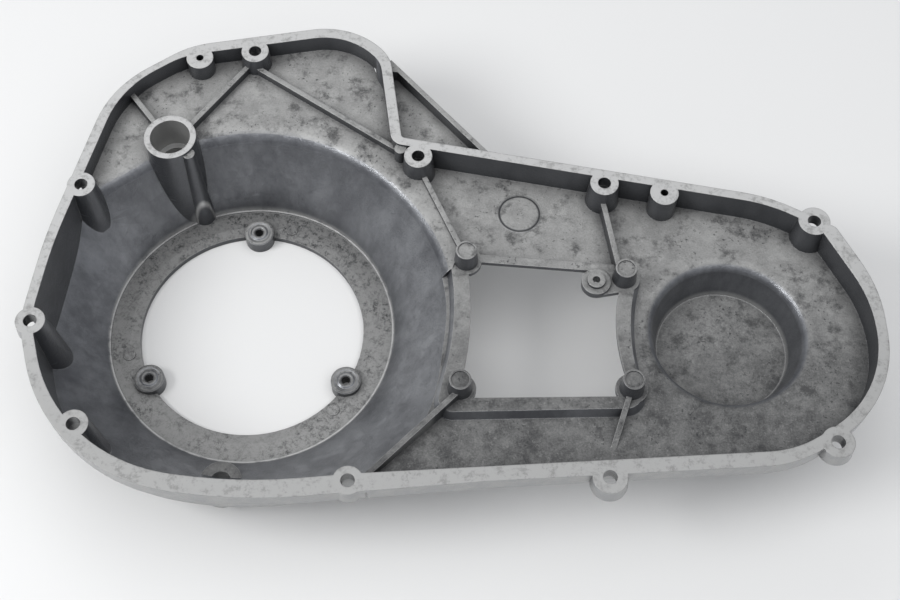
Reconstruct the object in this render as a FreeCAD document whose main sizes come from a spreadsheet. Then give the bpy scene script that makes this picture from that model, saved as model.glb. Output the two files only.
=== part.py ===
import FreeCAD, Part
import math
import os

import Sketcher
from FreeCAD import Placement, Rotation, Vector

# Outer primary cover of a motorbike: one die-cast aluminium shell, modelled as it lies with its
# open side up. The origin is on the clutch axis in the outer face of the clutch opening's ring,
# +X points along the chain to the compensator axis and +Z points to the engine side.

# Driving dimensions in millimetres and degrees. Every height is measured up from the outer face
# of the ring, every depth is measured down from the gasket face of the rim.
SIZES = {
    # overall
    "cover_height": 91.0,
    "chain_centres": 325.0,
    "compensator_drop": 5.0,
    "wall": 4.5,
    "draft": 1.5,
    "side_wall": 5.0,
    "side_wall_draft": 5.0,
    "flange_depth": 13.0,
    "neck_side_slope": 22.0,
    # floors
    "shelf_depth": 14.0,
    "neck_depth": 21.5,
    # clutch bowl
    "ring_thickness": 6.0,
    "bowl_foot_radius": 100.0,
    "bowl_skin": 5.5,
    "bowl_edge_radius": 12.0,
    "ring_step": 1.0,
    "ring_bevel": 7.0,
    "ring_bevel_depth": 1.5,
    "clutch_opening": 157.6,
    "clutch_bolt_circle": 157.4,
    "clutch_bolt_angle": 94.3,
    "clutch_boss": 21.0,
    "clutch_boss_height": 10.0,
    "clutch_bolt_hole": 6.0,
    # compensator dish
    "dish_depth": 50.0,
    "dish_floor_radius": 44.0,
    "dish_wall_draft": 14.0,
    "dish_edge_radius": 8.0,
    # rim bolts
    "rim_bolt_hole": 8.8,
    "bolt_head_recess": 15.0,
    "bolt_head_depth": 10.0,
    "ear_height": 11.0,
    "column_draft": 5.0,
    "dowel_hole": 5.2,
    "dowel_hole_depth": 12.0,
    # inspection window
    "window_x": 204.0,
    "window_y": -16.0,
    "frame_depth": 15.0,
    "frame_thickness": 3.5,
    "seat_margin": 2.0,
    "frame_side_slope": 25.0,
    "window_boss": 14.2,
    "window_boss_depth": 1.0,
    "window_boss_draft": 4.0,
    "window_boss_lip": 1.2,
    "window_boss_dish": 1.0,
    "window_pedestal": 21.0,
    "window_screw_hole": 5.1,
    "window_screw_depth": 13.0,
    "switch_boss": 19.6,
    "switch_boss_depth": 13.0,
    "switch_collar": 12.0,
    "switch_collar_depth": 10.5,
    "switch_hole": 5.1,
    # jackshaft boss
    "jackshaft_x": -63.0,
    "jackshaft_y": 102.6,
    "jackshaft_boss": 36.0,
    "jackshaft_boss_draft": 1.5,
    "jackshaft_bore": 27.5,
    "jackshaft_bore_depth": 28.0,
    "jackshaft_step_bore": 20.0,
    "jackshaft_step_depth": 40.0,
    "jackshaft_bulge": 42.0,
    "jackshaft_bulge_depth": 46.0,
    # drain boss
    "drain_x": -1.0,
    "drain_y": -120.7,
    "drain_boss": 28.0,
    "drain_boss_height": 25.0,
    "drain_seat_height": 13.0,
    "drain_hole": 13.8,
    # ribs and gusset
    "rib": 3.6,
    "rib_depth": 8.0,
    "step_rib_depth": 12.0,
    "crest_depth_window": 8.0,
    "crest_depth_rim": 18.0,
    "brace_depth": 10.0,
    "pusher": 8.4,
    "pusher_height": 0.6,
    "pusher_draft": 2.5,
    "gusset_wall": 3.5,
    "gusset_wall_depth": 4.0,
}

# Corners of the rim's outer outline, anticlockwise: axis that the corner is placed from, x and y
# from that axis, rounding radius, and width of the gasket land along the side that follows.
RIM_CORNERS = [
    ("clutch", -134.8, -48.4, 74.9, 7.7),
    ("clutch", -96.9, -149.5, 121.0, 11.3),
    ("clutch", 24.6, -156.9, 337.0, 12.0),
    ("clutch", 174.1, -131.0, 300.0, 9.7),
    ("compensator", 39.0, -103.8, 79.0, 8.0),
    ("compensator", 103.7, -54.9, 85.0, 6.9),
    ("compensator", 95.9, 25.5, 102.0, 10.0),
    ("compensator", 69.1, 69.7, 6.0, 5.6),
    ("compensator", 24.9, 90.2, 113.0, 6.0),
    ("clutch", 96.5, 116.4, 3.0, 7.3),
    ("clutch", 81.7, 184.8, 29.0, 8.1),
    ("clutch", 52.5, 211.7, 55.0, 7.8),
    ("clutch", -61.9, 181.9, 65.0, 4.8),
    ("clutch", -111.4, 140.7, 80.0, 7.0),
    ("clutch", -131.8, 17.0, 376.0, 6.5),
]

# Reach of the bowl's side at the height of the rim, by angle about the clutch axis. The side is
# straight from the ring up to this closed curve, and leans out most towards the neck and below.
BOWL_REACH = [
    (0, 150.5),
    (15, 143.5),
    (45, 131.5),
    (78, 125.5),
    (108, 123.5),
    (129, 123.0),
    (142, 126.5),
    (155, 138.7),
    (167, 150.0),
    (182, 160.0),
    (203, 176.0),
    (228, 182.0),
    (255, 183.0),
    (280, 184.0),
    (308, 181.0),
    (330, 172.5),
    (346, 156.5),
]

# Rim bolts: axis that the bolt is placed from, x and y from that axis, radius of its boss.
RIM_BOLTS = {
    "left_upper": ("clutch", -116.3, 58.9, 9.5),
    "left_lower": ("clutch", -128.0, -46.6, 9.7),
    "bottom_left": ("clutch", -85.7, -115.2, 9.5),
    "bottom_bowl": ("clutch", 88.5, -137.8, 9.5),
    "bottom_neck": ("compensator", -76.5, -121.8, 11.0),
    "right_lower": ("compensator", 64.0, -86.5, 10.5),
    "right_upper": ("compensator", 54.7, 73.4, 10.7),
    "top_neck": ("compensator", -87.1, 91.3, 9.7),
    "top_corner": ("clutch", 109.4, 102.1, 9.7),
    "top_left": ("clutch", -15.2, 181.2, 9.7),
}

# Bosses with a small dowel hole, in the same form.
DOWELS = {
    "top_right": ("compensator", -46.2, 87.1, 9.7),
    "top_shelf": ("clutch", -53.5, 171.8, 9.5),
}

# Screw bosses of the inspection cover, from the middle of the window.
WINDOW_BOSSES = {
    "upper_left": (-55.7, 47.0),
    "upper_right": (50.7, 42.6),
    "lower_left": (-52.4, -47.7),
    "lower_right": (57.7, -38.1),
}
SWITCH_BOSS = (32.0, 37.5)

# Corners of the raised frame round the window, from its middle: x, y and rounding radius.
FRAME_CORNERS = [
    (-67.0, -65.5, 9.0),
    (66.5, -51.0, 10.0),
    (52.9, 8.0, 150.0),
    (60.5, 52.5, 9.0),
    (-67.5, 52.5, 8.0),
    (-57.5, 2.0, 200.0),
]

# Corners of the window's opening in the same form. The screw bosses stand in its corners.
OPENING_CORNERS = [
    (-54.0, -54.5, 4.0),
    (58.0, -43.5, 4.0),
    (43.5, 4.0, 130.0),
    (49.5, 46.5, 4.0),
    (-55.0, 46.5, 4.0),
    (-46.0, -4.0, 220.0),
]

# Ends of the stretch of the neck's lower side that leans in from the rim.
NECK_SIDE = [(100.0, -143.7), (345.0, -106.6)]

# Reach of the forms beyond the cover, in plan.
FAR = 300.0

# Gusset in the inward corner between bowl and neck, from the clutch axis: the ends of its
# slanting wall, and the points that take its floor into the rim's walls.
GUSSET_WALL = [(157.5, 109.7), (81.0, 183.8)]
GUSSET_ROOT = [(79.0, 180.0), (93.5, 112.5), (157.5, 107.5)]
GUSSET_APEX = [(81.0, 183.8), (81.5, 174.8), (88.3, 174.8)]

# Ends of the ribs in plan: the crest between bowl and neck, the ribs of shelf and window.
CREST_ENDS = [(88.5, -137.8), (150.0, -69.7)]
TOP_RIB_ENDS = [(-15.2, 174.0), (104.0, 106.0)]
JACKSHAFT_RIB_ENDS = [(-15.2, 181.2), (-63.0, 102.6)]
LEFT_RIB_ENDS = [(-104.0, 148.0), (-63.0, 102.6)]
STEP_RIB_ENDS = [(109.4, 102.1), (148.3, 31.0)]
UPPER_BRACE_ENDS = [(236.0, 91.3), (252.0, 26.6)]
LOWER_BRACE_ENDS = [(261.7, -54.1), (251.5, -95.0)]

# Places that the mould's pusher pins touched: raised discs on the ring, and two tall pins.
RING_PUSHERS = [(17.0, 85.0), (-83.0, -26.0), (64.5, -55.5)]
JACKSHAFT_PUSHER = (-48.5, 91.3)
CORNER_PUSHER = (96.5, 108.5)


def rounded_outline(corners):
    """Edges of a closed polygon whose corners (x, y, radius) are rounded by tangent arcs."""
    trims = []
    for index, (x, y, radius) in enumerate(corners):
        here = Vector(x, y, 0)
        before = Vector(*corners[index - 1][:2], 0) - here
        after = Vector(*corners[(index + 1) % len(corners)][:2], 0) - here
        half_angle = before.getAngle(after) / 2
        setback = radius / math.tan(half_angle)
        before.normalize()
        after.normalize()
        start = here + before * setback
        end = here + after * setback
        bisector = (before + after).normalize()
        centre = here + bisector * (radius / math.sin(half_angle))
        middle = centre - bisector * radius
        trims.append((start, middle, end))
    edges = []
    for index, (start, middle, end) in enumerate(trims):
        if (end - start).Length > 0.01:
            edges.append(Part.Arc(start, middle, end))
        following = trims[(index + 1) % len(trims)][0]
        if (following - end).Length > 0.01:
            edges.append(Part.LineSegment(end, following))
    return edges


def inset_corners(corners, insets):
    """Move each side of a polygon inwards by its own inset and return the new corners."""
    sides = []
    for index, (x, y, radius) in enumerate(corners):
        start = Vector(x, y, 0)
        along = Vector(*corners[(index + 1) % len(corners)][:2], 0) - start
        along.normalize()
        inward = Vector(-along.y, along.x, 0)
        sides.append((start + inward * insets[index], along))
    result = []
    for index, (x, y, radius) in enumerate(corners):
        first, first_along = sides[index - 1]
        second, second_along = sides[index]
        gap = second - first
        turn = first_along.cross(second_along).z
        reach = gap.cross(second_along).z / turn
        point = first + first_along * reach
        change = (insets[index - 1] + insets[index]) / 2
        if turn < 0:
            change = -change
        result.append((point.x, point.y, max(radius - change, 1.0)))
    return result


def new_sketch(body, name, height="0"):
    """A sketch parallel to the body's XY plane at the height given by an expression."""
    sketch = body.newObject("Sketcher::SketchObject", name)
    plane = next(f for f in body.Origin.OriginFeatures if f.Role == "XY_Plane")
    sketch.AttachmentSupport = [(plane, "")]
    sketch.MapMode = "FlatFace"
    sketch.setExpression("AttachmentOffset.Base.z", height)
    return sketch


def vertical_sketch(body, name, start, end):
    """A sketch in the upright plane through two points of the plan, its x running from start."""
    sketch = body.newObject("Sketcher::SketchObject", name)
    plane = next(f for f in body.Origin.OriginFeatures if f.Role == "XY_Plane")
    sketch.AttachmentSupport = [(plane, "")]
    sketch.MapMode = "FlatFace"
    heading = math.degrees(math.atan2(end[1] - start[1], end[0] - start[0]))
    turn = Rotation(Vector(0, 0, 1), heading).multiply(Rotation(Vector(1, 0, 0), 90))
    sketch.AttachmentOffset = Placement(Vector(start[0], start[1], 0), turn)
    return sketch


def add_circle(sketch, x, y, diameter):
    """A circle whose diameter follows an expression, centred on a point of the plan."""
    size = value(diameter)
    circle = Part.Circle(Vector(x, y, 0), Vector(0, 0, 1), size / 2)
    edge = sketch.addGeometry(circle, False)
    held = sketch.addConstraint(Sketcher.Constraint("Diameter", edge, size))
    sketch.setExpression(f"Constraints[{held}]", diameter)


def add_outline(sketch, edges):
    for edge in edges:
        sketch.addGeometry(edge, False)


def add_polygon(sketch, points):
    for index, (x, y) in enumerate(points):
        following = points[(index + 1) % len(points)]
        sketch.addGeometry(Part.LineSegment(Vector(x, y, 0), Vector(*following, 0)), False)


def pad(body, name, sketch, length, down=False, taper=None):
    """Pad a sketch up, or down, by an expression, growing along the way by the taper."""
    feature = body.newObject("PartDesign::Pad", name)
    feature.Profile = sketch
    feature.Reversed = down
    feature.setExpression("Length", length)
    if taper:
        feature.setExpression("TaperAngle", taper)
    return feature


def pocket(body, name, sketch, length=None, up=False):
    """Cut a sketch down, or up, by an expression, or through everything on that side."""
    feature = body.newObject("PartDesign::Pocket", name)
    feature.Profile = sketch
    feature.Reversed = up
    if length:
        feature.setExpression("Length", length)
    else:
        feature.Type = "ThroughAll"
    return feature


def revolve(body, name, profile, centre, cut=False):
    """Turn a closed profile (radius, height) about an upright axis through a plan point."""
    sketch = vertical_sketch(body, name + "_profile", centre, (centre[0] + 1, centre[1]))
    add_outline(sketch, profile)
    kind = "PartDesign::Groove" if cut else "PartDesign::Revolution"
    feature = body.newObject(kind, name)
    feature.Profile = sketch
    feature.ReferenceAxis = (sketch, ["V_Axis"])
    feature.Angle = 360
    return feature


doc = FreeCAD.newDocument("outer_primary_cover")
sheet = doc.addObject("Spreadsheet::Sheet", "Sizes")
for row, (alias, number) in enumerate(SIZES.items(), start=1):
    sheet.set(f"A{row}", alias)
    sheet.set(f"B{row}", str(number))
    sheet.setAlias(f"B{row}", alias)
doc.recompute()


def value(expression):
    """The number that an expression over the sheet's cells stands for now."""
    return float(sheet.evalExpression(expression))


def size(alias):
    return value("Sizes." + alias)


AXES = {
    "clutch": Vector(0, 0, 0),
    "compensator": Vector(size("chain_centres"), 0, 0),
}


def placed(axis, x, y):
    """A plan point given from the clutch axis or from above or below the compensator axis."""
    return (AXES[axis].x + x, AXES[axis].y + y)


outer_corners = []
land_widths = []
for axis, x, y, radius, land in RIM_CORNERS:
    outer_corners.append((*placed(axis, x, y), radius))
    land_widths.append(land)
inner_corners = inset_corners(outer_corners, land_widths)

wall_corners = inset_corners(
    outer_corners, [max(land - size("side_wall"), 0) for land in land_widths]
)

rim_bolts = {name: (*placed(axis, x, y), r) for name, (axis, x, y, r) in RIM_BOLTS.items()}
dowels = {name: (*placed(axis, x, y), r) for name, (axis, x, y, r) in DOWELS.items()}
window_bosses = {
    name: (size("window_x") + x, size("window_y") + y) for name, (x, y) in WINDOW_BOSSES.items()
}
switch_boss = (size("window_x") + SWITCH_BOSS[0], size("window_y") + SWITCH_BOSS[1])
jackshaft = (size("jackshaft_x"), size("jackshaft_y"))
drain = (size("drain_x"), size("drain_y"))
dish_centre = (size("chain_centres"), -size("compensator_drop"))


def bowl_curve(extra_reach):
    """The closed curve of the bowl's side at the height of the rim."""
    points = []
    angles = []
    for angle, reach in BOWL_REACH:
        turn = math.radians(angle)
        radius = reach + extra_reach
        points.append(Vector(radius * math.cos(turn), radius * math.sin(turn), 0))
        angles.append(angle / 360)
    curve = Part.BSplineCurve()
    curve.interpolate(Points=points, PeriodicFlag=True, Parameters=angles + [1.0])
    return curve


def foot_curve(radius):
    """The ring's circle, with its points at the same angles as the bowl's side above it."""
    points = []
    angles = []
    for angle, _ in BOWL_REACH:
        turn = math.radians(angle)
        points.append(Vector(radius * math.cos(turn), radius * math.sin(turn), 0))
        angles.append(angle / 360)
    curve = Part.BSplineCurve()
    curve.interpolate(Points=points, PeriodicFlag=True, Parameters=angles + [1.0])
    return curve


def bowl_loft(body, name, kind, foot_radius, foot_height, extra_reach):
    foot = new_sketch(body, name + "_foot", foot_height)
    foot.addGeometry(foot_curve(foot_radius), False)
    mouth = new_sketch(body, name + "_mouth", "Sizes.cover_height")
    mouth.addGeometry(bowl_curve(extra_reach), False)
    loft = body.newObject(kind, name)
    loft.Profile = foot
    loft.Sections = [mouth]
    loft.Ruled = True
    return loft


def dish_profile(thickness):
    """Half section of the dish's inner face, rounded at its edge, or of its plain outer face."""
    floor_level = size("cover_height") - size("dish_depth") - thickness
    neck_level = size("cover_height") - size("neck_depth") - thickness
    lean = math.radians(size("dish_wall_draft"))
    edge = size("dish_edge_radius") if thickness == 0 else 0
    floor_radius = size("dish_floor_radius") + thickness * math.cos(lean)
    rise = neck_level - floor_level - edge * (1 - math.sin(lean))
    axis_foot = Vector(0, floor_level, 0)
    axis_top = Vector(0, size("cover_height"), 0)
    foot = Vector(floor_radius, floor_level, 0)
    mouth = Vector(floor_radius + rise * math.tan(lean), floor_level + rise, 0)
    edges = [Part.LineSegment(axis_foot, foot), Part.LineSegment(foot, mouth)]
    if edge > 0:
        arc_centre = mouth + Vector(edge * math.cos(lean), -edge * math.sin(lean), 0)
        turn = math.radians(135) - lean / 2
        arc_middle = arc_centre + Vector(edge * math.cos(turn), edge * math.sin(turn), 0)
        arc_end = arc_centre + Vector(0, edge, 0)
        edges.append(Part.Arc(mouth, arc_middle, arc_end))
        mouth = arc_end
    top = Vector(mouth.x, axis_top.y, 0)
    edges.append(Part.LineSegment(mouth, top))
    edges.append(Part.LineSegment(top, axis_top))
    edges.append(Part.LineSegment(axis_top, axis_foot))
    return edges


# Plan line that parts the two floors: the neck's lies right of it, and the bowl takes both away
# where the line crosses it.
parting = [
    rim_bolts["bottom_bowl"][:2],
    (120.0, -101.0),
    (118.0, -60.0),
    (118.0, 10.0),
    (139.5, 24.0),
    (143.5, 37.0),
    rim_bolts["top_corner"][:2],
    (rim_bolts["top_corner"][0], FAR),
]
neck_side = [(parting[0][0], -FAR), (2 * FAR, -FAR), (2 * FAR, FAR)] + parting[::-1]
shelf_side = [(-FAR, -FAR), (parting[0][0], -FAR)] + parting + [(-FAR, FAR)]


def block(body, name, points, length, base="0"):
    """A plan polygon padded up from a base height."""
    sketch = new_sketch(body, name + "_plan", base)
    add_polygon(sketch, points)
    return pad(body, name, sketch, length)


def rib(body, name, start, end, start_depth, end_depth, thickness="Sizes.rib", foot=0):
    """An upright web between two plan points, its crest at a depth below the rim at each end."""
    length = math.hypot(end[0] - start[0], end[1] - start[1])
    sketch = vertical_sketch(body, name + "_side", start, end)
    top = size("cover_height")
    crest = [(length, top - end_depth), (0, top - start_depth)]
    add_polygon(sketch, [(0, foot), (length, foot)] + crest)
    feature = pad(body, name, sketch, thickness)
    feature.SideType = "Symmetric"
    return feature


def columns(body, name, places, height, length, taper=None):
    """Round columns (x, y, radius) padded down from a height."""
    sketch = new_sketch(body, name + "_plan", height)
    for x, y, radius in places:
        sketch.addGeometry(Part.Circle(Vector(x, y, 0), Vector(0, 0, 1), radius), False)
    return pad(body, name, sketch, length, down=True, taper=taper)


def holes(body, name, places, diameter, height, length=None, up=False):
    """Round holes of one diameter cut down, or up, from a height."""
    sketch = new_sketch(body, name + "_plan", height)
    for place in places:
        add_circle(sketch, place[0], place[1], diameter)
    return pocket(body, name, sketch, length, up)


def drill(body, name, places, diameter, height, length):
    """Round pads of one diameter that run down from a height, in a body of holes to cut."""
    sketch = new_sketch(body, name + "_plan", height)
    for place in places:
        add_circle(sketch, place[0], place[1], diameter)
    return pad(body, name, sketch, length, down=True)


def around(body, name, feature, count):
    """Repeat a feature evenly about the clutch axis."""
    pattern = body.newObject("PartDesign::PolarPattern", name)
    pattern.Originals = [feature]
    axis = next(f for f in body.Origin.OriginFeatures if f.Role == "Z_Axis")
    pattern.Axis = (axis, [""])
    pattern.Angle = 360
    pattern.Occurrences = count
    body.Tip = pattern
    return pattern


def combine(body, name, tool):
    """Cut the shape of another body from this one."""
    feature = body.newObject("PartDesign::Boolean", name)
    feature.Type = "Cut"
    feature.setObjects([tool])
    return feature


def moved(corners, x, y):
    """Corners of an outline moved in plan."""
    return [(x + corner[0], y + corner[1], corner[2]) for corner in corners]


frame_corners = moved(FRAME_CORNERS, size("window_x"), size("window_y"))
opening_corners = moved(OPENING_CORNERS, size("window_x"), size("window_y"))

# The form outside the casting: all that lies below its outer skin.
outside = doc.addObject("PartDesign::Body", "outside_form")
block(outside, "below_shelf", shelf_side, "Sizes.cover_height - Sizes.shelf_depth - Sizes.wall")
block(outside, "below_neck", neck_side, "Sizes.cover_height - Sizes.neck_depth - Sizes.wall")
skin = size("bowl_skin")
bowl_loft(outside, "bowl_skin_space", "PartDesign::SubtractiveLoft",
          size("bowl_foot_radius") + skin / 2, "0", skin)
revolve(outside, "dome_space", dish_profile(size("wall")), dish_centre, cut=True)

# The neck's lower side leans in from the rim: a wedge along it joins the outer space.
side_start, side_end = NECK_SIDE
side_length = math.hypot(side_end[0] - side_start[0], side_end[1] - side_start[1])
inward = ((side_start[1] - side_end[1]) / side_length, (side_end[0] - side_start[0]) / side_length)
wedge_sketch = vertical_sketch(outside, "side_wedge_profile", side_start,
                               (side_start[0] + inward[0], side_start[1] + inward[1]))
lean = math.tan(math.radians(size("neck_side_slope")))
low = size("cover_height") - size("neck_depth") - size("wall")
high = size("cover_height") - size("rib")
add_polygon(wedge_sketch, [(0, high), (-FAR / 10, high), (-FAR / 10, low - 1),
                           ((high - low + 1) * lean, low - 1)])
wedge = pad(outside, "side_wedge", wedge_sketch, "1")
wedge.Length = side_length

# The form inside the casting: shelf, bowl side, ring, neck floor, dish, frame, columns, ribs.
inside = doc.addObject("PartDesign::Body", "inside_form")
block(inside, "shelf", shelf_side, "Sizes.cover_height - Sizes.shelf_depth")
block(inside, "neck", neck_side, "Sizes.cover_height - Sizes.neck_depth")
bowl = bowl_loft(inside, "bowl", "PartDesign::SubtractiveLoft", size("bowl_foot_radius"),
                 "Sizes.ring_thickness + Sizes.ring_step", 0)
doc.recompute()
shelf_level = size("cover_height") - size("shelf_depth")
mouth_edges = []
for number, edge in enumerate(bowl.Shape.Edges, start=1):
    level = abs(edge.BoundBox.ZMin - shelf_level) + abs(edge.BoundBox.ZMax - shelf_level)
    if level < 0.01 and edge.Curve.TypeId != "Part::GeomLine":
        mouth_edges.append(f"Edge{number}")
rounding = inside.newObject("PartDesign::Fillet", "bowl_rounding")
rounding.Base = (bowl, mouth_edges)
rounding.setExpression("Radius", "Sizes.bowl_edge_radius")
holes(inside, "ring_recess", [(0, 0)], "2 * Sizes.bowl_foot_radius - 2 * Sizes.ring_step",
      "Sizes.ring_thickness + Sizes.ring_step", "Sizes.ring_step")
holes(inside, "clutch_opening", [(0, 0)], "Sizes.clutch_opening", "Sizes.ring_thickness")
inner_edge = size("clutch_opening") / 2
ring_face = size("ring_thickness")
bevel = [
    Vector(inner_edge - 1, ring_face, 0),
    Vector(inner_edge - 1, ring_face - size("ring_bevel_depth"), 0),
    Vector(inner_edge, ring_face - size("ring_bevel_depth"), 0),
    Vector(inner_edge + size("ring_bevel"), ring_face, 0),
]
bevel_edges = [Part.LineSegment(a, b) for a, b in zip(bevel, bevel[1:] + bevel[:1])]
revolve(inside, "ring_bevel", bevel_edges, (0, 0), cut=True)
revolve(inside, "dish", dish_profile(0), dish_centre, cut=True)

# Three tapped bosses round the clutch opening.
turn = math.radians(size("clutch_bolt_angle"))
reach = size("clutch_bolt_circle") / 2
first_boss = (reach * math.cos(turn), reach * math.sin(turn))
boss_sketch = new_sketch(inside, "clutch_boss_plan")
add_circle(boss_sketch, *first_boss, "Sizes.clutch_boss")
boss = pad(inside, "clutch_boss", boss_sketch, "Sizes.clutch_boss_height")
around(inside, "clutch_bosses", boss, 3)
hole = holes(inside, "clutch_bolt_hole", [first_boss], "Sizes.clutch_bolt_hole",
             "Sizes.clutch_boss_height")
around(inside, "clutch_bolt_holes", hole, 3)

# Discs left by the mould's pusher pins.
pushers = [(x, y, size("pusher") / 2) for x, y in RING_PUSHERS]
columns(inside, "ring_pushers", pushers, "Sizes.ring_thickness + Sizes.pusher_height",
        "Sizes.pusher_height")

# Inspection window: raised frame, opening, screw bosses with blind holes, switch boss.
frame_level = "Sizes.cover_height - Sizes.frame_depth"
seat_level = "Sizes.cover_height - Sizes.frame_depth - Sizes.frame_thickness"
frame_sketch = new_sketch(inside, "frame_plan", frame_level)
add_outline(frame_sketch, rounded_outline(frame_corners))
pad(inside, "frame", frame_sketch, "Sizes.neck_depth - Sizes.frame_depth + Sizes.wall", down=True,
    taper="Sizes.frame_side_slope")
opening_sketch = new_sketch(inside, "window_plan", frame_level)
add_outline(opening_sketch, rounded_outline(opening_corners))
pocket(inside, "window", opening_sketch)
pedestals = [(x, y, size("window_pedestal") / 2) for x, y in window_bosses.values()]
columns(inside, "window_pedestals", pedestals, frame_level, "Sizes.frame_thickness")
rib(inside, "switch_bridge", switch_boss, window_bosses["upper_right"],
    size("frame_depth"), size("frame_depth"), "Sizes.switch_boss", value(seat_level))
posts = [(x, y, size("window_boss") / 2) for x, y in window_bosses.values()]
columns(inside, "window_posts", posts, "Sizes.cover_height - Sizes.window_boss_depth",
        "Sizes.frame_depth + Sizes.frame_thickness - Sizes.window_boss_depth",
        "Sizes.window_boss_draft")
columns(inside, "switch_post", [(*switch_boss, size("switch_boss") / 2)],
        "Sizes.cover_height - Sizes.switch_boss_depth",
        "Sizes.frame_depth + Sizes.frame_thickness - Sizes.switch_boss_depth")
columns(inside, "switch_collar", [(*switch_boss, size("switch_collar") / 2)],
        "Sizes.cover_height - Sizes.switch_collar_depth",
        "Sizes.frame_depth - Sizes.switch_collar_depth")

# Columns of the rim's bolts and dowels, of the jackshaft and of the drain.
columns(inside, "bolt_columns", rim_bolts.values(), "Sizes.cover_height", "Sizes.cover_height",
        "Sizes.column_draft")
columns(inside, "dowel_columns", dowels.values(), "Sizes.cover_height",
        "Sizes.shelf_depth + Sizes.neck_depth")
columns(inside, "jackshaft_column", [(*jackshaft, size("jackshaft_boss") / 2)],
        "Sizes.cover_height", "Sizes.cover_height - Sizes.ring_thickness",
        "Sizes.jackshaft_boss_draft")
columns(inside, "jackshaft_pusher", [(*JACKSHAFT_PUSHER, size("pusher") / 2)],
        "Sizes.cover_height - 2 * Sizes.ring_step", "Sizes.cover_height - Sizes.ring_thickness",
        "Sizes.pusher_draft")
columns(inside, "corner_pusher", [(*CORNER_PUSHER, size("pusher") / 2)],
        "Sizes.cover_height - 2 * Sizes.ring_step", "Sizes.shelf_depth + Sizes.wall")
columns(inside, "drain_column", [(*drain, size("drain_boss") / 2)], "Sizes.drain_boss_height",
        "Sizes.drain_boss_height")

# Ribs of the shelf and the neck.
depth = size("rib_depth")
rib(inside, "top_rib", *TOP_RIB_ENDS, depth, depth)
rib(inside, "jackshaft_rib", *JACKSHAFT_RIB_ENDS, depth, depth)
rib(inside, "left_rib", *LEFT_RIB_ENDS, depth, depth)
rib(inside, "step_rib", *STEP_RIB_ENDS, size("step_rib_depth"), size("step_rib_depth"))
rib(inside, "upper_brace", *UPPER_BRACE_ENDS, size("brace_depth"), size("brace_depth"))
rib(inside, "bowl_crest", *CREST_ENDS, size("crest_depth_rim"), size("crest_depth_window"))
rib(inside, "lower_brace", *LOWER_BRACE_ENDS, size("brace_depth"), size("neck_depth"))

# Holes of the window's bosses, which the ribs run into.
holes(inside, "window_post_dishes", window_bosses.values(),
      "Sizes.window_boss - 2 * Sizes.window_boss_lip",
      "Sizes.cover_height - Sizes.window_boss_depth", "Sizes.window_boss_dish")
holes(inside, "window_screw_holes", window_bosses.values(), "Sizes.window_screw_hole",
      seat_level, "Sizes.window_screw_depth", up=True)
holes(inside, "switch_hole", [switch_boss], "Sizes.switch_hole",
      "Sizes.cover_height - Sizes.switch_collar_depth")

# The space inside the rim, less the inner form.
core = doc.addObject("PartDesign::Body", "core")
core_sketch = new_sketch(core, "rim_inside", "Sizes.cover_height")
add_outline(core_sketch, rounded_outline(inner_corners))
pad(core, "core_block", core_sketch, "Sizes.cover_height", down=True, taper="-Sizes.draft")
combine(core, "core_less_form", inside)

# The space that is machined away: holes of the rim's bolts with room for their heads, holes of
# the dowels, stepped bore of the jackshaft, drain hole.
drillings = doc.addObject("PartDesign::Body", "drillings")
bolt_seat = "Sizes.cover_height - Sizes.bolt_head_depth"
drill(drillings, "rim_bolt_holes", rim_bolts.values(), "Sizes.rim_bolt_hole",
      "Sizes.cover_height", "Sizes.cover_height")
drill(drillings, "bolt_head_recesses", rim_bolts.values(), "Sizes.bolt_head_recess",
      bolt_seat, bolt_seat)
drill(drillings, "dowel_holes", dowels.values(), "Sizes.dowel_hole", "Sizes.cover_height",
      "Sizes.dowel_hole_depth")
drill(drillings, "jackshaft_bore", [jackshaft], "Sizes.jackshaft_bore", "Sizes.cover_height",
      "Sizes.jackshaft_bore_depth")
drill(drillings, "jackshaft_step", [jackshaft], "Sizes.jackshaft_step_bore",
      "Sizes.cover_height", "Sizes.jackshaft_step_depth")
drill(drillings, "drain_hole", [drain], "Sizes.drain_hole", "Sizes.drain_boss_height",
      "Sizes.drain_boss_height")

# The cover itself.
cover = doc.addObject("PartDesign::Body", "outer_primary_cover")
wall_sketch = new_sketch(cover, "side_wall_plan", "Sizes.cover_height")
add_outline(wall_sketch, rounded_outline(wall_corners))
pad(cover, "side_wall", wall_sketch, "Sizes.cover_height", down=True,
    taper="-Sizes.side_wall_draft")
rim_sketch = new_sketch(cover, "flange_plan", "Sizes.cover_height")
add_outline(rim_sketch, rounded_outline(outer_corners))
pad(cover, "flange", rim_sketch, "Sizes.flange_depth", down=True, taper="-Sizes.draft")
combine(cover, "outer_skin", outside)
columns(cover, "bolt_ears", rim_bolts.values(), "Sizes.cover_height", "Sizes.ear_height",
        "Sizes.column_draft")
columns(cover, "dowel_ears", dowels.values(), "Sizes.cover_height", "Sizes.ear_height")
columns(cover, "jackshaft_bulge", [(*jackshaft, size("jackshaft_bulge") / 2)],
        "Sizes.cover_height - Sizes.shelf_depth",
        "Sizes.jackshaft_bulge_depth - Sizes.shelf_depth")
columns(cover, "drain_seat", [(*drain, size("drain_boss") / 2)], "Sizes.drain_boss_height",
        "Sizes.drain_boss_height - Sizes.drain_seat_height")
block(cover, "gusset_floor", GUSSET_WALL + GUSSET_ROOT, "Sizes.wall",
      "Sizes.cover_height - Sizes.shelf_depth - Sizes.wall")
rib(cover, "gusset_wall", *GUSSET_WALL, size("gusset_wall_depth"), size("gusset_wall_depth"),
    "Sizes.gusset_wall", size("cover_height") - size("shelf_depth") - size("wall"))
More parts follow.
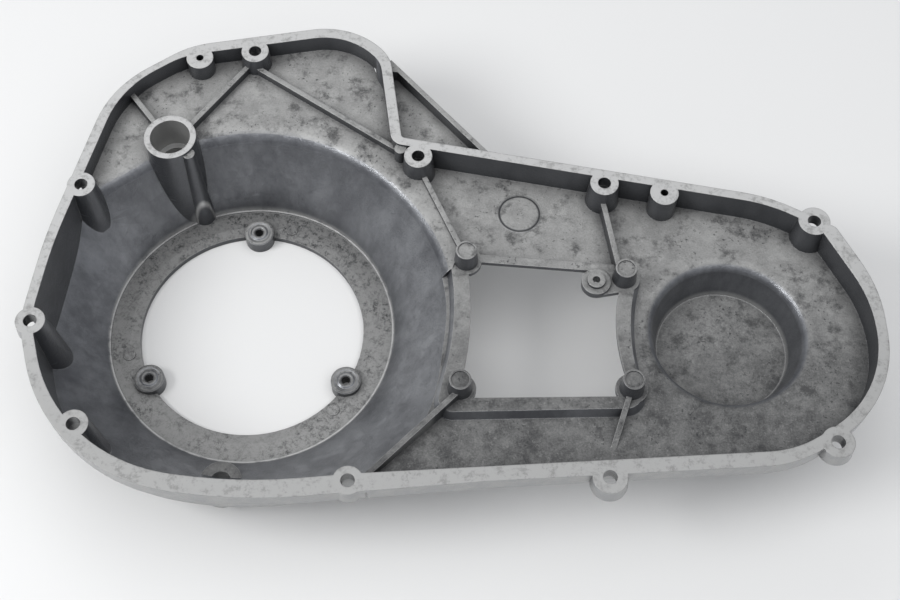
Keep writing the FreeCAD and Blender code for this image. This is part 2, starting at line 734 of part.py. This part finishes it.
block(cover, "gusset_apex", GUSSET_APEX, "Sizes.shelf_depth - Sizes.gusset_wall_depth",
      "Sizes.cover_height - Sizes.shelf_depth")
combine(cover, "hollow", core)
combine(cover, "machining", drillings)
seat_sketch = new_sketch(cover, "window_seat_plan", seat_level)
seat_corners = inset_corners(frame_corners, [size("seat_margin")] * len(frame_corners))
add_outline(seat_sketch, rounded_outline(seat_corners))
seat = pocket(cover, "window_seat", seat_sketch, "2 * Sizes.wall")
seat.setExpression("TaperAngle", "Sizes.side_wall_draft")

doc.recompute()
for obj in doc.Objects:
    if "Invalid" in obj.State or "Error" in obj.State:
        raise RuntimeError(f"{obj.Name} did not compute: {obj.State}")
if cover.Shape.isNull() or not cover.Shape.isValid() or len(cover.Shape.Solids) != 1:
    raise RuntimeError("the cover is not one valid solid")

cover.Label = "outer_primary_cover"
cover.Placement = Placement(Vector(0, 0, 0), Rotation())
os.makedirs("parts", exist_ok=True)
cover.Shape.exportStep("parts/outer_primary_cover.step")
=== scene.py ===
"""Looks for the outer primary cover: one die-casting on a pale floor, seen from above its open side."""

import math

import bpy
from mathutils import Matrix, Vector


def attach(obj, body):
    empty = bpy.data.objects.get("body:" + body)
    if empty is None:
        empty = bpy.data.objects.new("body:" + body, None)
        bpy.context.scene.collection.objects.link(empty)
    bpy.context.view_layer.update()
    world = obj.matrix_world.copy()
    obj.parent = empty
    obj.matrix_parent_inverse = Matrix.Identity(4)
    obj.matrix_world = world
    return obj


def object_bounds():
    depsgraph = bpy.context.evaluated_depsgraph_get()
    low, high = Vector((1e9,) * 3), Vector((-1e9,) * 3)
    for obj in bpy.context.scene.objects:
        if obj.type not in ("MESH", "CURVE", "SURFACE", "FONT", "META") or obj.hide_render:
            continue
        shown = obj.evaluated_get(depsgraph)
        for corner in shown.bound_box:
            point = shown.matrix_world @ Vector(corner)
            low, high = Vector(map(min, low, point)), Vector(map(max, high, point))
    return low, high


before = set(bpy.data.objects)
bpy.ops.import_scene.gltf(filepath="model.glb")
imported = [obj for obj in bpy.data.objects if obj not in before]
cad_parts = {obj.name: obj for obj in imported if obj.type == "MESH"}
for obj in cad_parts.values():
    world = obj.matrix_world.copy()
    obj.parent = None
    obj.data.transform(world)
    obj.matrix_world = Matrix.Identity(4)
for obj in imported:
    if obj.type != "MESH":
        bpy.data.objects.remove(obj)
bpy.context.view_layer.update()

COVER = "outer_primary_cover"

# Camera: sensor width in millimetres, focal length in pixels of the 900 wide frame, place in metres,
# the turn of its view as an axis times an angle in radians, and its clipping distances.
IMAGE_WIDTH = 900
SENSOR_WIDTH = 36.0
FOCAL_PIXELS = 1450.0
CAMERA_PLACE = Vector((0.1695, -0.4527, 0.9233))
CAMERA_TURN = Vector((-0.49156, 0.01118, 0.08316))
CAMERA_NEAR = 0.01
CAMERA_FAR = 100.0

# Metal colours.
# Darkest patina, also used as painted shade in corners, holes and creases.
DARK_PATINA_AND_SHADE = (0.02, 0.021, 0.023, 1)
PATINA_MIDDLE = (0.03, 0.0305, 0.032, 1)
PATINA_LIGHT = (0.355, 0.355, 0.348, 1)
PATINA_WORN = (0.44, 0.44, 0.43, 1)
BOWL_DARK = (0.145, 0.150, 0.163, 1)
BOWL_LIGHT = (0.262, 0.270, 0.286, 1)
RING_COLOUR = (0.30, 0.30, 0.295, 1)
OUTSIDE_COLOUR = (0.37, 0.37, 0.366, 1)
# Upright walls: partly darker patina, partly painted shade; also the painted shade on the bowl's near
# side.
WALL_PATINA_AND_SHADE = (0.075, 0.078, 0.085, 1)
RIM_COLOUR = (0.49, 0.49, 0.485, 1)
# Painted shade on the machined rim, towards the near side.
RIM_PAINTED_SHADE = (0.35, 0.35, 0.345, 1)
RIM_STAIN = (0.17, 0.17, 0.165, 1)
EDGE_COLOUR = (0.50, 0.50, 0.495, 1)
BORE_COLOUR = (0.40, 0.40, 0.395, 1)

# Noise of the metal: waves a metre, detail, roughness, the two values between which it is cut to a
# soft mask, and a shift that sets it apart from the others. The stretch draws the bowl's streaks out
# down its slope.
CLOUDS = (28, 5, 0.6, 0.32, 0.66, 0.0)
BLOTCHES = (95, 6, 0.65, 0.34, 0.64, 3.1)
GRAIN = (750, 3, 0.7, 0.32, 0.68, 7.7)
DARK_PATCHES = (60, 7, 0.72, 0.50, 0.66, 6.2)
WORN_PATCHES = (48, 7, 0.72, 0.52, 0.68, 8.5)
LIGHT_GRAIN = (380, 6, 0.8, 0.54, 0.66, 14.3)
SPECKS = (520, 2, 0.5, 0.60, 0.70, 1.9)
SPECKLED_AREAS = (55, 3, 0.5, 0.46, 0.62, 5.3)
BOWL_STREAKS = (46, 7, 0.68, 0.30, 0.70, 2.2)
PITTED_AREAS = (36, 5, 0.65, 0.36, 0.60, 16.1)
PITS = (260, 9, 0.88, 0.46, 0.62, 9.4)
RING_WEAR = (90, 4, 0.7, 0.28, 0.52, 12.5)
RIM_STAINS = (170, 6, 0.75, 0.48, 0.66, 4.4)
STREAK_STRETCH = (1, 1, 0.35)

# Upward part of a face's normal between which floors, upright walls and the underside begin and are
# full. A pair of limits rises from 0 at the first to 1 at the second, here and below.
FLAT = (0.72, 0.93)
UPRIGHT = (0.42, 0.12)
UNDERSIDE = (0.0, -0.25)

# Floors: distance in metres across the chain line where painted light brightens them, how much that
# changes with each metre along the line, and how much each layer shows. LEAST is what shows anyway.
PAINTED_LIGHT_RISES = (-0.135, 0.06)
PAINTED_LIGHT_LEAN = -0.12
FAR_SIDE_LIGHT_SHARE = 0.56
CLOUDS_SHARE = 0.13
BLOTCHES_SHARE = 0.17
GRAIN_SHARE = 0.14
DARK_PATCHES_SHARE = 0.75
WORN_PATCHES_SHARE = 0.35
WORN_PATCHES_LEAST = 0.1
LIGHT_GRAIN_SHARE = 0.22
SPECKS_SHARE = 0.75
SPECKS_LEAST = 0.15

# Side of the bowl, with painted shade that darkens it towards its near side, and upright walls, darkened
# partly as patina and partly as painted shade.
BOWL_PAINTED_SHADE = (-0.02, -0.13)
BOWL_SHADE_SHARE = 0.45
WALL_PATINA_AND_SHADE_SHARE = 0.85

# Outer skin: distance from clutch to compensator axis, how far from the line between them the skin
# starts, and how much a face of it looks away from that line.
COMPENSATOR_DISTANCE = 0.325
SKIN_STARTS = (0.085, 0.09)
SKIN_FACES_OUT = (-0.1, 0.2)
SKIN_BLOTCHES_SHARE = 0.5

# Ring round the clutch opening, with painted shade that darkens it towards its far side, and its worn
# edge. The ring's metal fades out above RING_HEIGHT, which is just above its face.
RING_HEIGHT = 0.0085
RING_FADE = 0.001
RING_PAINTED_SHADE = (-0.06, 0.09)
RING_SHADE_SHARE = 0.26
RING_PITS_SHARE = 0.78
RING_DIRT_LEAST = 0.10
RING_EDGE_RADIUS = 0.0998
RING_EDGE_HALF_WIDTH = 0.0017
PITTED_AREAS_SHARE = 0.65
PITS_LEAST = 0.35

# Floor of the compensator's dish and the lighter line round its edge.
DISH_FLOOR_MIDDLE = (COMPENSATOR_DISTANCE, -0.005, 0.041)
DISH_FLOOR_RADIUS = 0.0442
DISH_FLOOR_FADE = 0.001
DISH_PITS_SHARE = 0.45
DISH_DIRT_LEAST = 0.10
DISH_EDGE_HALF_WIDTH = 0.0013
DISH_EDGE_SHARE = 0.7

# Dirt and painted shade in corners, painted shade in holes, and wear and painted highlight on edges:
# reach of each in metres, rays that look for it, the openness of a place, from 1 in the open to 0 in a
# hole, and how well a rounded edge's normal agrees with the face's.
CORNER_REACH = 0.018
EDGE_RADIUS = 0.0011
EDGE_RAYS = 6
CORNER_OPENNESS = (0.85, 0.35)
CORNER_DIRT_AND_SHADE_SHARE = 0.55
HOLE_OPENNESS = (0.34, 0.12)
HOLE_SHADE_SHARE = 0.8
EDGE_AGREEMENT = (0.97, 0.80)
OPEN_EDGE_OPENNESS = (0.55, 0.80)
OPEN_EDGE_SHARE = 0.65
CREASE_OPENNESS = (0.75, 0.50)
CREASE_SHARE = 0.65

# Jackshaft bore: axis in plan, height of its ring, the radii just outside the bore between which its
# metal ends, and the depths below the ring between which it starts and ends.
JACKSHAFT_AXIS = (-0.063, 0.1026)
JACKSHAFT_TOP = 0.091
BORE_RADII = (0.0142, 0.0138)
BORE_STARTS = (0.0002, 0.0006)
BORE_ENDS = (0.0415, 0.041)

# Machined face of the rim. Its metal is full from RIM_HEIGHT up, which is just below the face.
RIM_HEIGHT = 0.0905
RIM_FADE = 0.0003
RIM_STAINS_SHARE = 0.6

# Relief of the cast grain: depth in metres, strength, and the fine grain's share beside the blotches.
RELIEF_DEPTH = 0.0004
RELIEF_STRENGTH = 0.35
RELIEF_GRAIN_SHARE = 0.5

# Metallic and roughness values of slopes, what floors take off or add, and one plain value of each for
# a viewer that reads no nodes.
SLOPE_METALLIC = 0.6
FLOOR_LESS_METALLIC = 0.3
PLAIN_METALLIC = 0.3
SLOPE_ROUGHNESS = 0.28
FLOOR_MORE_ROUGH = 0.24
PLAIN_ROUGHNESS = 0.5

# Raised disc on the neck's floor. Its profile in millimetres is measured out from the groove round it.
DISC_MIDDLE = (0.1818, 0.0748, 0.0695)
DISC_GROOVE_RADIUS = 0.0139
DISC_GROOVE_HALF_WIDTH = 0.0013
DISC_PROFILE = (
    (-13.8, 0.5), (-1.4, 0.5), (-0.8, 0.4), (-0.3, 0.05),
    (0.3, 0.05), (0.7, 0.3), (1.1, 0.3), (1.8, -0.1),
)

# Collars on the three bosses round the clutch opening: a rounded bead round the hole, then a groove
# and a rounded rim. The profile in millimetres is measured out from the hole's axis.
BOSS_CIRCLE_RADIUS = 0.0787
BOSS_TOP = 0.010
BOSS_ANGLES = (94.3, 214.3, 334.3)
COLLAR_PROFILE = (
    (3.1, -0.2), (3.4, 0.7), (4.2, 1.2), (5.2, 1.2), (5.9, 0.6), (6.4, 0.1),
    (7.4, 0.1), (8.2, 0.7), (9.2, 0.8), (10.0, 0.4), (10.4, -0.4),
)
MILLIMETRE = 0.001
TURNED_SIDES = 64

# Floor and surroundings.
FLOOR_REACH = 6.0
FLOOR_COLOUR = (0.75, 0.75, 0.745, 1)
FLOOR_ROUGHNESS = 0.9
WORLD_COLOUR = (0.86, 0.88, 0.92, 1)
WORLD_STRENGTH = 0.50

# Round soft lights: name, place and width in metres, power in watts. All aim at one point.
LIGHT_AIM = (0.14, 0.02, 0.05)
LIGHTS = (
    ("back_window", (-0.5, 1.7, 1.9), 1.5, 6),
    ("overhead", (0.6, -0.4, 2.25), 3.0, 28),
    ("left_window", (-1.1, -0.5, 1.35), 0.85, 18),
)


def camera_rotation():
    """Rotation of a camera that looks straight down, turned by the axis-angle vector."""
    angle = CAMERA_TURN.length
    turn = Matrix.Rotation(angle, 3, CAMERA_TURN.normalized())
    down = Matrix(((1, 0, 0), (0, -1, 0), (0, 0, -1)))
    view = turn @ down
    right, below, ahead = view[0], view[1], view[2]
    return Matrix((right, -below, -ahead)).transposed()


def add_camera():
    """Camera at the photographer's place."""
    data = bpy.data.cameras.new("camera")
    data.sensor_width = SENSOR_WIDTH
    data.lens = FOCAL_PIXELS * SENSOR_WIDTH / IMAGE_WIDTH
    data.clip_start = CAMERA_NEAR
    data.clip_end = CAMERA_FAR
    camera = bpy.data.objects.new("camera", data)
    camera.matrix_world = Matrix.Translation(CAMERA_PLACE) @ camera_rotation().to_4x4()
    bpy.context.scene.collection.objects.link(camera)
    bpy.context.scene.camera = camera


class Shading:
    """A material whose node tree is built by small steps, each of which returns an output socket."""

    def __init__(self, name):
        self.material = bpy.data.materials.new(name)
        self.material.use_nodes = True
        self.tree = self.material.node_tree
        self.shader = self.tree.nodes["Principled BSDF"]
        geometry = self.tree.nodes.new("ShaderNodeNewGeometry")
        self.position = geometry.outputs["Position"]
        self.normal = geometry.outputs["True Normal"]
        self.along, self.across, self.height = self.parts(self.position)
        self.upward = self.parts(self.normal)[2]

    def put(self, socket, source):
        """Connect a socket to an output, or set it to a constant."""
        if isinstance(source, bpy.types.NodeSocket):
            self.tree.links.new(source, socket)
        else:
            socket.default_value = source

    def math(self, operation, *values, clamp=True):
        """Result of a step on numbers, kept between 0 and 1 unless clamp is off."""
        made = self.tree.nodes.new("ShaderNodeMath")
        made.operation = operation
        made.use_clamp = clamp
        for socket, source in zip(made.inputs, values):
            self.put(socket, source)
        return made.outputs[0]

    def times(self, first, second):
        """Product of two numbers."""
        return self.math("MULTIPLY", first, second)

    def total(self, *layers, least=0.0):
        """Sum of layers, each given with its share, on top of a least value."""
        result = least
        for layer, share in layers:
            result = self.math("ADD", result, self.times(layer, share))
        return result

    def vector_math(self, operation, *vectors):
        """Result of a step on vectors: a number for a product, length or distance, else a vector."""
        made = self.tree.nodes.new("ShaderNodeVectorMath")
        made.operation = operation
        for socket, source in zip(made.inputs, vectors):
            self.put(socket, source)
        is_number = operation in ("DOT_PRODUCT", "LENGTH", "DISTANCE")
        return made.outputs["Value" if is_number else "Vector"]

    def distance(self, place):
        """Distance in metres from one place."""
        return self.vector_math("DISTANCE", self.position, place)

    def parts(self, vector):
        """The three coordinates of a vector."""
        made = self.tree.nodes.new("ShaderNodeSeparateXYZ")
        self.put(made.inputs[0], vector)
        return made.outputs[0], made.outputs[1], made.outputs[2]

    def vector(self, *coordinates):
        """A vector of three coordinates."""
        made = self.tree.nodes.new("ShaderNodeCombineXYZ")
        for socket, source in zip(made.inputs, coordinates):
            self.put(socket, source)
        return made.outputs[0]

    def steps(self, source, limits):
        """Smooth rise from 0 at the first limit to 1 at the second, which may be the lower one."""
        made = self.tree.nodes.new("ShaderNodeMapRange")
        made.interpolation_type = "SMOOTHSTEP"
        self.put(made.inputs["Value"], source)
        made.inputs["From Min"].default_value = limits[0]
        made.inputs["From Max"].default_value = limits[1]
        return made.outputs["Result"]

    def band(self, source, middle, half_width):
        """1 at the middle value, with a soft fall to 0 at the half width on both sides."""
        rise = self.steps(source, (middle - half_width, middle))
        fall = self.steps(source, (middle + half_width, middle))
        return self.times(rise, fall)

    def layer(self, settings, stretch=(1, 1, 1)):
        """Soft mask cut from noise over the row frame."""
        waves, detail, roughness, low, high, shift = settings
        place = self.tree.nodes.new("ShaderNodeMapping")
        self.put(place.inputs["Vector"], self.position)
        place.inputs["Location"].default_value = (shift, shift, shift)
        place.inputs["Scale"].default_value = stretch
        made = self.tree.nodes.new("ShaderNodeTexNoise")
        self.put(made.inputs["Vector"], place.outputs["Vector"])
        made.inputs["Scale"].default_value = waves
        made.inputs["Detail"].default_value = detail
        made.inputs["Roughness"].default_value = roughness
        return self.steps(made.outputs["Fac"], (low, high))

    def mix(self, mask, first, second):
        """The first colour, turned to the second where the mask is 1."""
        made = self.tree.nodes.new("ShaderNodeMix")
        made.data_type = "RGBA"
        self.put(made.inputs[0], mask)
        self.put(made.inputs[6], first)
        self.put(made.inputs[7], second)
        return made.outputs[2]

    def tint(self, colour, mask, target, share):
        """A colour moved towards another by a share of the way, where the mask is 1."""
        return self.mix(self.times(mask, share), colour, target)


class CastMetal(Shading):
    """The cover's material, with the masks and the rounded normal that its sections share."""

    def __init__(self):
        super().__init__("cast_aluminium")
        # Painted light: a mask that brightens the floors and the rim towards the far side of the chain
        # line.
        leaning = self.math("MULTIPLY_ADD", self.along, PAINTED_LIGHT_LEAN, self.across, clamp=False)
        self.clean = self.steps(leaning, PAINTED_LIGHT_RISES)
        self.flat = self.steps(self.upward, FLAT)
        self.upright = self.steps(self.upward, UPRIGHT)
        self.blotches = self.layer(BLOTCHES)
        self.grain = self.layer(GRAIN)
        bevel = self.tree.nodes.new("ShaderNodeBevel")
        bevel.samples = EDGE_RAYS
        bevel.inputs["Radius"].default_value = EDGE_RADIUS
        self.rounded_normal = bevel.outputs["Normal"]


def floor_patina_and_light(look):
    """Floors: broad clouds, dark and worn patches, cast grain and dark specks, with painted light
    brighter towards the far side.
    """
    clouds = look.layer(CLOUDS)
    tone = look.total(
        (look.clean, FAR_SIDE_LIGHT_SHARE), (clouds, CLOUDS_SHARE),
        (look.blotches, BLOTCHES_SHARE), (look.grain, GRAIN_SHARE),
    )
    colour = look.mix(tone, PATINA_MIDDLE, PATINA_LIGHT)
    colour = look.tint(colour, look.layer(DARK_PATCHES), PATINA_MIDDLE, DARK_PATCHES_SHARE)
    # Worn patches, which show more towards the far side, where the painted light is.
    worn = look.total((look.clean, WORN_PATCHES_SHARE), least=WORN_PATCHES_LEAST)
    colour = look.tint(colour, look.layer(WORN_PATCHES), PATINA_WORN, worn)
    colour = look.tint(colour, look.layer(LIGHT_GRAIN), PATINA_WORN, LIGHT_GRAIN_SHARE)
    speckled = look.math("ADD", look.layer(SPECKLED_AREAS), SPECKS_LEAST)
    specks = look.times(look.layer(SPECKS), speckled)
    return look.tint(colour, specks, DARK_PATINA_AND_SHADE, SPECKS_SHARE)


def slopes_and_walls(look, floors):
    """The floors' colour with the bowl's darker side, streaked down its slope and darkened by painted
    shade towards its near side, and upright walls darkened partly by patina, partly by painted shade.
    """
    bowl = look.mix(look.layer(BOWL_STREAKS, STREAK_STRETCH), BOWL_DARK, BOWL_LIGHT)
    # Painted shade that darkens the bowl's side towards its near side.
    near_side_shade = look.steps(look.across, BOWL_PAINTED_SHADE)
    bowl = look.tint(bowl, near_side_shade, WALL_PATINA_AND_SHADE, BOWL_SHADE_SHARE)
    colour = look.mix(look.flat, bowl, floors)
    # Upright walls darkened, partly as patina and partly as painted shade.
    return look.tint(colour, look.upright, WALL_PATINA_AND_SHADE, WALL_PATINA_AND_SHADE_SHARE)


def away_from_chain_line(look):
    """Level vector from the nearest point of the line between the clutch's and compensator's axes."""
    nearest = look.tree.nodes.new("ShaderNodeClamp")
    look.put(nearest.inputs["Value"], look.along)
    nearest.inputs["Min"].default_value = 0.0
    nearest.inputs["Max"].default_value = COMPENSATOR_DISTANCE
    on_line = look.vector(nearest.outputs[0], 0.0, look.height)
    return look.vector_math("SUBTRACT", look.position, on_line)


def outer_skin(look, colour):
    """Lighter skin on walls that face away from the chain line, and on the underside."""
    outward = away_from_chain_line(look)
    facing = look.vector_math("DOT_PRODUCT", look.vector_math("NORMALIZE", outward), look.normal)
    far_out = look.steps(look.vector_math("LENGTH", outward), SKIN_STARTS)
    walls = look.times(look.times(look.steps(facing, SKIN_FACES_OUT), look.upright), far_out)
    outside = look.math("MAXIMUM", walls, look.steps(look.upward, UNDERSIDE))
    skin = look.tint(OUTSIDE_COLOUR, look.blotches, BOWL_LIGHT, SKIN_BLOTCHES_SHARE)
    return look.mix(outside, colour, skin)


def pitted_metal(look):
    """Mask of the pits, which are fewer outside the pitted areas."""
    pitted = look.total((look.layer(PITTED_AREAS), PITTED_AREAS_SHARE), least=PITS_LEAST)
    return look.times(look.layer(PITS), pitted)


def clutch_ring(look, colour, pits):
    """Pitted ring round the clutch opening, with painted shade towards its far side, and a worn edge."""
    # Painted shade that darkens the ring towards its far side; with the pits it makes the ring's
    # darkening.
    far_side_shade = look.steps(look.across, RING_PAINTED_SHADE)
    darkening = look.total((pits, RING_PITS_SHARE), (far_side_shade, RING_SHADE_SHARE), least=RING_DIRT_LEAST)
    metal = look.mix(darkening, RING_COLOUR, DARK_PATINA_AND_SHADE)
    low = look.steps(look.height, (RING_HEIGHT + RING_FADE, RING_HEIGHT))
    colour = look.mix(look.times(low, look.flat), colour, metal)
    edge = look.band(look.distance((0, 0, RING_HEIGHT)), RING_EDGE_RADIUS, RING_EDGE_HALF_WIDTH)
    return look.tint(colour, edge, EDGE_COLOUR, look.layer(RING_WEAR))


def dish_floor(look, colour, pits):
    """Pitted floor of the compensator's dish, with a lighter line round its edge."""
    from_middle = look.distance(DISH_FLOOR_MIDDLE)
    inside = look.steps(from_middle, (DISH_FLOOR_RADIUS + DISH_FLOOR_FADE, DISH_FLOOR_RADIUS))
    darkening = look.total((pits, DISH_PITS_SHARE), least=DISH_DIRT_LEAST)
    colour = look.tint(colour, inside, DARK_PATINA_AND_SHADE, darkening)
    edge = look.band(from_middle, DISH_FLOOR_RADIUS, DISH_EDGE_HALF_WIDTH)
    return look.tint(colour, edge, EDGE_COLOUR, DISH_EDGE_SHARE)


def dirt_shade_wear_and_highlight(look, colour):
    """Dirt and painted shade in corners and creases, painted shade in holes, a dark line along the disc's
    groove, and lighter open edges, partly wear and partly painted highlight.
    """
    occlusion = look.tree.nodes.new("ShaderNodeAmbientOcclusion")
    occlusion.samples = EDGE_RAYS
    occlusion.inputs["Distance"].default_value = CORNER_REACH
    openness = occlusion.outputs["AO"]
    # Dirt and painted shade in corners.
    corner = look.steps(openness, CORNER_OPENNESS)
    colour = look.tint(colour, corner, DARK_PATINA_AND_SHADE, CORNER_DIRT_AND_SHADE_SHARE)
    # Painted shade in holes.
    hole = look.steps(openness, HOLE_OPENNESS)
    colour = look.tint(colour, hole, DARK_PATINA_AND_SHADE, HOLE_SHADE_SHARE)
    agreement = look.vector_math("DOT_PRODUCT", look.rounded_normal, look.normal)
    edge = look.steps(agreement, EDGE_AGREEMENT)
    # Lighter open edges, partly wear and partly painted highlight.
    open_edge = look.times(edge, look.steps(openness, OPEN_EDGE_OPENNESS))
    colour = look.tint(colour, open_edge, EDGE_COLOUR, OPEN_EDGE_SHARE)
    # Darker creases, partly painted shade and partly grime.
    crease = look.times(edge, look.steps(openness, CREASE_OPENNESS))
    colour = look.tint(colour, crease, DARK_PATINA_AND_SHADE, CREASE_SHARE)
    groove = look.band(look.distance(DISC_MIDDLE), DISC_GROOVE_RADIUS, DISC_GROOVE_HALF_WIDTH)
    return look.mix(groove, colour, DARK_PATINA_AND_SHADE)


def jackshaft_bore(look, colour):
    """Clean metal inside the jackshaft's bore, below its ring."""
    depth = look.math("SUBTRACT", JACKSHAFT_TOP, look.height)
    from_axis = look.distance(look.vector(*JACKSHAFT_AXIS, look.height))
    inside = look.times(look.steps(from_axis, BORE_RADII), look.steps(depth, BORE_STARTS))
    inside = look.times(inside, look.steps(depth, BORE_ENDS))
    return look.mix(inside, colour, BORE_COLOUR)


def rim_metal(look):
    """Machined metal, darkened towards the near side by painted shade, with faint stains."""
    # Painted shade darkens the rim towards the near side.
    colour = look.mix(look.clean, RIM_PAINTED_SHADE, RIM_COLOUR)
    return look.tint(colour, look.layer(RIM_STAINS), RIM_STAIN, RIM_STAINS_SHARE)


def relief(look, machined):
    """Normal with rounded edges and the grain of the mould, which the machined face lacks."""
    bump = look.tree.nodes.new("ShaderNodeBump")
    bump.inputs["Distance"].default_value = RELIEF_DEPTH
    fine = look.times(look.grain, RELIEF_GRAIN_SHARE)
    look.put(bump.inputs["Height"], look.math("ADD", fine, look.blotches))
    look.put(bump.inputs["Strength"], look.math("SUBTRACT", RELIEF_STRENGTH, machined))
    look.put(bump.inputs["Normal"], look.rounded_normal)
    return bump.outputs["Normal"]


def cast_metal():
    """As-cast aluminium with a mottled patina, a smoother dark bowl side and a machined rim, with painted
    light and shade on its floors, sides, walls, hollows and edges.
    """
    look = CastMetal()
    colour = slopes_and_walls(look, floor_patina_and_light(look))
    colour = outer_skin(look, colour)
    pits = pitted_metal(look)
    colour = clutch_ring(look, colour, pits)
    colour = dish_floor(look, colour, pits)
    colour = dirt_shade_wear_and_highlight(look, colour)
    colour = jackshaft_bore(look, colour)
    machined = look.times(look.steps(look.height, (RIM_HEIGHT - RIM_FADE, RIM_HEIGHT)), look.flat)
    colour = look.mix(machined, colour, rim_metal(look))
    metallic = look.math("SUBTRACT", SLOPE_METALLIC, look.times(look.flat, FLOOR_LESS_METALLIC))
    roughness = look.total((look.flat, FLOOR_MORE_ROUGH), least=SLOPE_ROUGHNESS)

    sockets = look.shader.inputs
    sockets["Base Color"].default_value = PATINA_MIDDLE
    sockets["Metallic"].default_value = PLAIN_METALLIC
    sockets["Roughness"].default_value = PLAIN_ROUGHNESS
    look.put(sockets["Base Color"], colour)
    look.put(sockets["Metallic"], metallic)
    look.put(sockets["Roughness"], roughness)
    look.put(sockets["Normal"], relief(look, machined))
    return look.material


def in_metres(profile, start=0.0):
    """Profile in metres, from one in millimetres that is measured out from a start radius."""
    return [(start + radius * MILLIMETRE, rise * MILLIMETRE) for radius, rise in profile]


def add_turned(name, middle, profile, material):
    """A ring or disc turned from a profile of radius and height in metres, that rides on the cover."""
    verts = []
    for radius, rise in profile:
        for index in range(TURNED_SIDES):
            angle = 2 * math.pi * index / TURNED_SIDES
            place = (radius * math.cos(angle), radius * math.sin(angle), rise)
            verts.append(Vector(middle) + Vector(place))
    faces = []
    for row in range(len(profile) - 1):
        inner = row * TURNED_SIDES
        outer = inner + TURNED_SIDES
        for index in range(TURNED_SIDES):
            following = (index + 1) % TURNED_SIDES
            faces.append((inner + index, outer + index, outer + following, inner + following))
    mesh = bpy.data.meshes.new(name)
    mesh.from_pydata(verts, [], faces)
    for face in mesh.polygons:
        face.use_smooth = True
    mesh.materials.append(material)
    piece = bpy.data.objects.new(name, mesh)
    bpy.context.scene.collection.objects.link(piece)
    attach(piece, "root")


def add_boss_collars(material):
    """Collar on top of each boss round the clutch opening."""
    for number, degrees in enumerate(BOSS_ANGLES, 1):
        angle = math.radians(degrees)
        middle = (BOSS_CIRCLE_RADIUS * math.cos(angle), BOSS_CIRCLE_RADIUS * math.sin(angle), BOSS_TOP)
        add_turned(f"clutch_boss_collar_{number}", middle, in_metres(COLLAR_PROFILE), material)


def add_floor():
    """Pale floor under the cover."""
    low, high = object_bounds()
    middle = (Vector(low) + Vector(high)) / 2
    mesh = bpy.data.meshes.new("floor")
    corners = [(-1, -1), (1, -1), (1, 1), (-1, 1)]
    verts = [(middle.x + x * FLOOR_REACH, middle.y + y * FLOOR_REACH, Vector(low).z) for x, y in corners]
    mesh.from_pydata(verts, [], [(0, 1, 2, 3)])
    floor = bpy.data.objects.new("floor", mesh)
    bpy.context.scene.collection.objects.link(floor)
    material = bpy.data.materials.new("floor_paper")
    material.use_nodes = True
    shader = material.node_tree.nodes["Principled BSDF"]
    shader.inputs["Base Color"].default_value = FLOOR_COLOUR
    shader.inputs["Roughness"].default_value = FLOOR_ROUGHNESS
    mesh.materials.append(material)


def add_light(name, place, size, power):
    """Round soft light that aims at the cover."""
    data = bpy.data.lights.new(name, "AREA")
    data.shape = "DISK"
    data.size = size
    data.energy = power
    light = bpy.data.objects.new(name, data)
    light.location = place
    direction = Vector(LIGHT_AIM) - Vector(place)
    light.rotation_euler = direction.to_track_quat("-Z", "Y").to_euler()
    bpy.context.scene.collection.objects.link(light)


def add_world():
    """Even light of a pale room."""
    world = bpy.data.worlds.new("studio")
    world.use_nodes = True
    background = world.node_tree.nodes["Background"]
    background.inputs["Color"].default_value = WORLD_COLOUR
    background.inputs["Strength"].default_value = WORLD_STRENGTH
    bpy.context.scene.world = world


add_camera()
add_floor()
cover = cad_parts[COVER]
cover.data.materials.clear()
metal = cast_metal()
cover.data.materials.append(metal)
add_turned("neck_disc", DISC_MIDDLE, in_metres(DISC_PROFILE, DISC_GROOVE_RADIUS), metal)
add_boss_collars(metal)
for name, place, size, power in LIGHTS:
    add_light(name, place, size, power)
add_world()
bpy.context.scene.view_settings.view_transform = "Standard"
